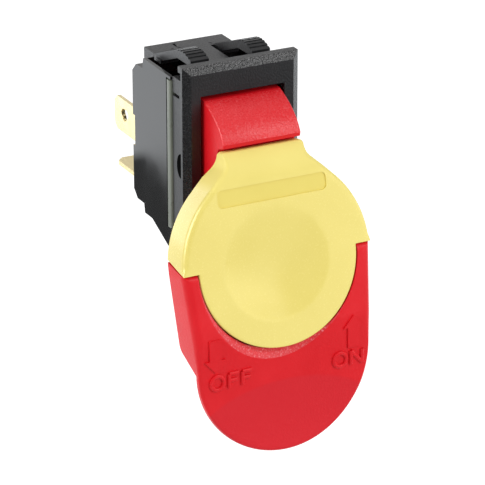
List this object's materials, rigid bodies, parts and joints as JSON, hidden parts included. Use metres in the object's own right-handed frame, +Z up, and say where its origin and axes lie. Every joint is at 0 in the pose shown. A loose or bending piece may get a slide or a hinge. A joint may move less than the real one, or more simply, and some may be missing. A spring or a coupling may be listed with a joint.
{
  "type": "paddle rocker switch",
  "caption": "Snap-in paddle rocker switch for a power tool, with a black panel bezel, a red paddle, a yellow pull-out lock key and brass quick-connect tabs.",
  "frame": {"origin": "The centre of the panel opening, on the plane of the bezel's back face, which is the panel's front face.", "axes": "+Z is up, +X is to the operator's right and +Y points through the panel, so the bezel and paddle face -Y and the tabs point along +Y."},
  "size_m": [0.036, 0.0516, 0.0662],
  "materials": {
    "black_nylon": "black nylon, spark-eroded texture",
    "black_gloss": "black phenolic, moulded gloss",
    "red_plastic": "red nylon, satin",
    "yellow_plastic": "pale yellow nylon, satin",
    "white_nylon": "natural white nylon",
    "brass": "bright stamped brass",
    "copper": "stamped copper alloy",
    "silver": "silver alloy contact face",
    "spring_steel": "drawn spring wire"
  },
  "bodies": {
    "housing": {"bezel_frame": "black_nylon", "switch_base": "black_gloss", "centre_terminal_left": "brass", "centre_terminal_right": "brass", "end_terminal_left": "brass", "end_terminal_right": "brass", "fixed_contact_left": "silver", "fixed_contact_right": "silver"},
    "paddle": {"paddle_rocker": "red_plastic", "lock_spring": "spring_steel", "plunger_spring_left": "spring_steel", "plunger_spring_right": "spring_steel"},
    "key": {"lock_key": "yellow_plastic"},
    "bolt": {"lock_bolt": "white_nylon"},
    "plunger_l": {"plunger_left": "white_nylon"},
    "plunger_r": {"plunger_right": "white_nylon"},
    "arm_l": {"contact_arm_left": "copper", "moving_contact_left": "silver"},
    "arm_r": {"contact_arm_right": "copper", "moving_contact_right": "silver"}
  },
  "joints": [
    {"name": "paddle_rock", "type": "hinge", "parent": "housing", "child": "paddle", "pos_m": [0, 0.004, 0], "axis": [1, 0, 0], "range_deg": [0, 18]},
    {"name": "key_pull", "type": "slide", "parent": "paddle", "child": "key", "axis": [0, -0.9781, 0.2079], "range_m": [0, 0.022]},
    {"name": "lock_slide", "type": "slide", "parent": "paddle", "child": "bolt", "axis": [0, -0.2079, -0.9781], "range_m": [0, 0.0022], "deforming": ["lock_spring"]},
    {"name": "plunger_left_slide", "type": "slide", "parent": "paddle", "child": "plunger_l", "axis": [0, -0.9877, 0.1564], "range_m": [0, 0.0008], "stiffness_N_per_m": 200, "springref_m": -0.001, "deforming": ["plunger_spring_left"]},
    {"name": "plunger_right_slide", "type": "slide", "parent": "paddle", "child": "plunger_r", "axis": [0, -0.9877, 0.1564], "range_m": [0, 0.0008], "stiffness_N_per_m": 200, "springref_m": -0.001, "deforming": ["plunger_spring_right"]},
    {"name": "arm_left_rock", "type": "hinge", "parent": "housing", "child": "arm_l", "pos_m": [0, 0.0126, 0], "axis": [1, 0, 0], "range_deg": [-16.2, 0]},
    {"name": "arm_right_rock", "type": "hinge", "parent": "housing", "child": "arm_r", "pos_m": [0, 0.0126, 0], "axis": [1, 0, 0], "range_deg": [-16.2, 0]}
  ],
  "couplings": [
    {"joint": "lock_slide", "follows": "key_pull", "ratio": 0.1},
    {"joint": "arm_left_rock", "follows": "paddle_rock", "ratio": -0.9},
    {"joint": "arm_right_rock", "follows": "paddle_rock", "ratio": -0.9}
  ]
}
